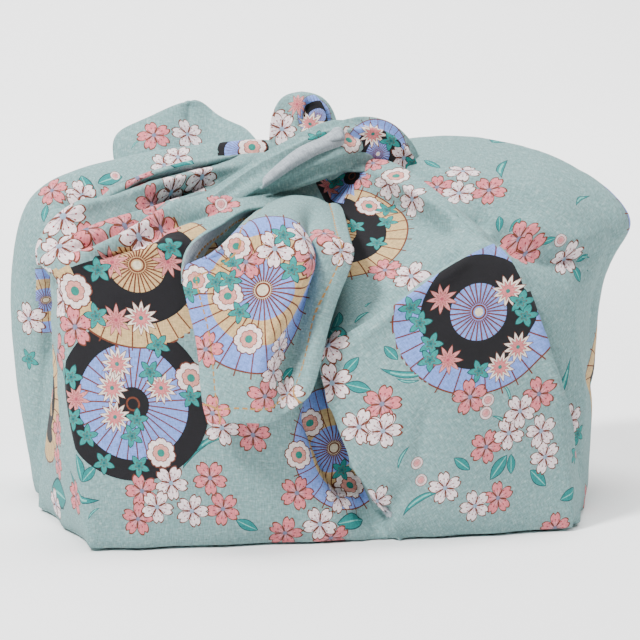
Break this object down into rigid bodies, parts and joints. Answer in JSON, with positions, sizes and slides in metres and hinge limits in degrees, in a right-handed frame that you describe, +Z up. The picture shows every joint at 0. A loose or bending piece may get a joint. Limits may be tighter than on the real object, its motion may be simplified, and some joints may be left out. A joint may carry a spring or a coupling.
{
  "type": "furoshiki wrap",
  "caption": "Square cotton wrapping cloth draped round a box shape and tied on top by its four corners, with a hanging tied end at the front, a mouth beside the knot and a flat underside.",
  "frame": {"origin": "on the floor, at the middle of the flat underside, below the knot", "axes": "+X to the right along the front, +Y to the back, +Z up"},
  "size_m": [0.2179, 0.1543, 0.1448],
  "materials": {
    "printed_cotton": "matt plain-woven cotton, pale blue-green, with a print of blossoms and parasols"
  },
  "bodies": {
    "root": {"furoshiki_cloth": "printed_cotton"}
  },
  "joints": []
}
